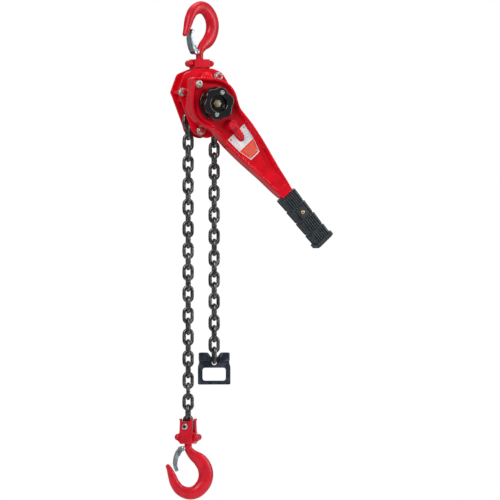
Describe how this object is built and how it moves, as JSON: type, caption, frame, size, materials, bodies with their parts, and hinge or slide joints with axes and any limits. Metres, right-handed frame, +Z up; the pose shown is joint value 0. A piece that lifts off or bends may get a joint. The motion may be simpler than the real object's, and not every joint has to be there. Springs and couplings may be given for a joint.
{
  "type": "lever chain hoist",
  "caption": "Hand lever hoist with a load chain, swivel hooks with sprung latches, ratchet lever with rubber grip, direction selector, free-chaining knob and chain tail stop.",
  "frame": {"origin": "saddle of the top hook, on its middle plane", "axes": "+Z up along the hanging hoist, +Y towards its back, where the gear cover is, +X to the right seen from the lever's side"},
  "size_m": [0.2758, 0.1164, 0.83],
  "materials": {
    "black_plastic": "gloss",
    "black_steel": "black oxide, oiled",
    "bronze": "turned",
    "friction_lining": "pressed lining",
    "grip_rubber": "matte",
    "label": "satin print",
    "machined_steel": "machined",
    "red_paint": "gloss",
    "zinc_plate": "zinc plated"
  },
  "bodies": {
    "top_hook": {"top_hook": "red_paint", "top_latch_pin": "zinc_plate", "top_latch_spring": "machined_steel"},
    "top_latch": {"top_latch": "zinc_plate"},
    "frame": {"yoke_front": "red_paint", "yoke_rear": "red_paint", "yoke_rivet_left": "red_paint", "yoke_rivet_right": "red_paint", "suspension_pin": "machined_steel", "brake_side_plate": "red_paint", "gear_side_plate": "red_paint", "stay_bolt_1": "red_paint", "stay_bolt_2": "red_paint", "stay_bolt_3": "red_paint", "stay_bolt_4": "red_paint", "stay_nut_1": "zinc_plate", "stay_nut_2": "zinc_plate", "stay_nut_3": "zinc_plate", "stay_nut_4": "zinc_plate", "chain_guide_left": "red_paint", "chain_guide_right": "red_paint", "chain_stripper": "black_steel", "sheave_bearing_front": "bronze", "sheave_bearing_rear": "bronze", "gear_cover": "red_paint", "brake_cover": "red_paint", "wrapped_chain": "black_steel"},
    "lever": {"lever_back_shell": "red_paint", "lever_front_shell": "red_paint", "housing_screw": "zinc_plate", "grip": "grip_rubber", "nameplate": "label"},
    "selector": {"selector_lever": "red_paint", "changeover_pawl": "machined_steel"},
    "drive_shaft": {"pinion_shaft": "machined_steel", "brake_hub": "machined_steel", "friction_disc_inner": "friction_lining", "friction_disc_outer": "friction_lining", "shaft_nut": "bronze"},
    "knob": {"knob": "black_plastic", "drive_gear": "machined_steel", "knob_screw_1": "zinc_plate", "knob_screw_2": "zinc_plate"},
    "ratchet": {"ratchet_disc": "machined_steel"},
    "pawl_a": {"brake_pawl_a": "machined_steel"},
    "pawl_b": {"brake_pawl_b": "machined_steel"},
    "sheave": {"load_sheave": "machined_steel", "load_gear": "machined_steel"},
    "idler_a": {"idler_gear_a": "machined_steel"},
    "idler_b": {"idler_gear_b": "machined_steel"},
    "load_chain": {"load_chain": "black_steel", "block_front": "red_paint", "block_rear": "red_paint", "chain_pin": "zinc_plate"},
    "bottom_hook": {"bottom_hook": "red_paint", "bottom_latch_pin": "zinc_plate", "bottom_latch_spring": "machined_steel"},
    "bottom_latch": {"bottom_latch": "zinc_plate"},
    "free_chain": {"free_chain": "black_steel"},
    "tail_stop": {"tail_stop": "black_steel"}
  },
  "joints": [
    {"name": "frame_swivel", "type": "hinge", "parent": "top_hook", "child": "frame", "pos_m": [0, 0, -0.08], "axis": [0, 0, 1], "continuous": true},
    {"name": "top_latch_pivot", "type": "hinge", "parent": "top_hook", "child": "top_latch", "pos_m": [-0.00864, -0.00315, -0.0641], "axis": [-0.342, 0.9397, 0], "range_deg": [0, 40], "stiffness_Nm_per_rad": 0.05, "springref_deg": -28.65},
    {"name": "lever_swing", "type": "hinge", "parent": "frame", "child": "lever", "pos_m": [0.003, -0.044, -0.1505], "axis": [0, 1, 0], "continuous": true},
    {"name": "selector_pivot", "type": "hinge", "parent": "lever", "child": "selector", "pos_m": [0.03413, -0.05, -0.18531], "axis": [0, 1, 0], "range_deg": [-15, 15]},
    {"name": "drive_shaft_spin", "type": "hinge", "parent": "frame", "child": "drive_shaft", "pos_m": [0.003, 0, -0.1505], "axis": [0, 1, 0], "range_deg": [-563.5, 563.5]},
    {"name": "knob_release", "type": "hinge", "parent": "drive_shaft", "child": "knob", "pos_m": [0.003, -0.055, -0.1505], "axis": [0, 1, 0], "range_deg": [-45, 0]},
    {"name": "ratchet_turn", "type": "hinge", "parent": "frame", "child": "ratchet", "pos_m": [0.003, -0.0245, -0.1505], "axis": [0, 1, 0], "range_deg": [0, 27]},
    {"name": "brake_pawl_a_pivot", "type": "hinge", "parent": "frame", "child": "pawl_a", "pos_m": [0.01377, -0.0245, -0.1209], "axis": [0, 1, 0], "range_deg": [-12, 0.5]},
    {"name": "brake_pawl_b_pivot", "type": "hinge", "parent": "frame", "child": "pawl_b", "pos_m": [-0.00777, -0.0245, -0.1801], "axis": [0, 1, 0], "range_deg": [-12, 0.5]},
    {"name": "sheave_spin", "type": "hinge", "parent": "frame", "child": "sheave", "pos_m": [0.003, 0, -0.1505], "axis": [0, 1, 0], "range_deg": [-90.5, 90.5], "deforming": ["wrapped_chain"]},
    {"name": "idler_a_spin", "type": "hinge", "parent": "frame", "child": "idler_a", "pos_m": [-0.00925, 0.025, -0.12928], "axis": [0, 1, 0], "range_deg": [-226, 226]},
    {"name": "idler_b_spin", "type": "hinge", "parent": "frame", "child": "idler_b", "pos_m": [0.01525, 0.025, -0.17172], "axis": [0, 1, 0], "range_deg": [-226, 226]},
    {"name": "load_chain_travel", "type": "slide", "parent": "frame", "child": "load_chain", "axis": [0, 0, 1], "range_m": [-0.036, 0.036]},
    {"name": "bottom_hook_swivel", "type": "hinge", "parent": "load_chain", "child": "bottom_hook", "pos_m": [-0.02075, 0, -0.71], "axis": [0, 0, 1], "continuous": true},
    {"name": "bottom_latch_pivot", "type": "hinge", "parent": "bottom_hook", "child": "bottom_latch", "pos_m": [-0.02964, 0.00238, -0.7235], "axis": [-0.2588, -0.9659, 0], "range_deg": [0, 40], "stiffness_Nm_per_rad": 0.05, "springref_deg": -28.65},
    {"name": "free_chain_travel", "type": "slide", "parent": "frame", "child": "free_chain", "axis": [0, 0, 1], "range_m": [-0.0362, 0.0362]},
    {"name": "tail_stop_swing", "type": "hinge", "parent": "free_chain", "child": "tail_stop", "pos_m": [0.02675, 0, -0.5808], "axis": [-0.2181, -0.9759, 0], "range_deg": [-6, 6]}
  ],
  "couplings": [
    {"joint": "drive_shaft_spin", "follows": "load_chain_travel", "rad_per_m": 272.71},
    {"joint": "sheave_spin", "follows": "load_chain_travel", "rad_per_m": 43.633},
    {"joint": "idler_a_spin", "follows": "load_chain_travel", "rad_per_m": -109.08},
    {"joint": "idler_b_spin", "follows": "load_chain_travel", "rad_per_m": -109.08},
    {"joint": "free_chain_travel", "follows": "load_chain_travel", "ratio": -1},
    {"joint": "brake_pawl_a_pivot", "follows": "ratchet_turn", "ratio": -0.38},
    {"joint": "brake_pawl_b_pivot", "follows": "ratchet_turn", "ratio": -0.38}
  ]
}
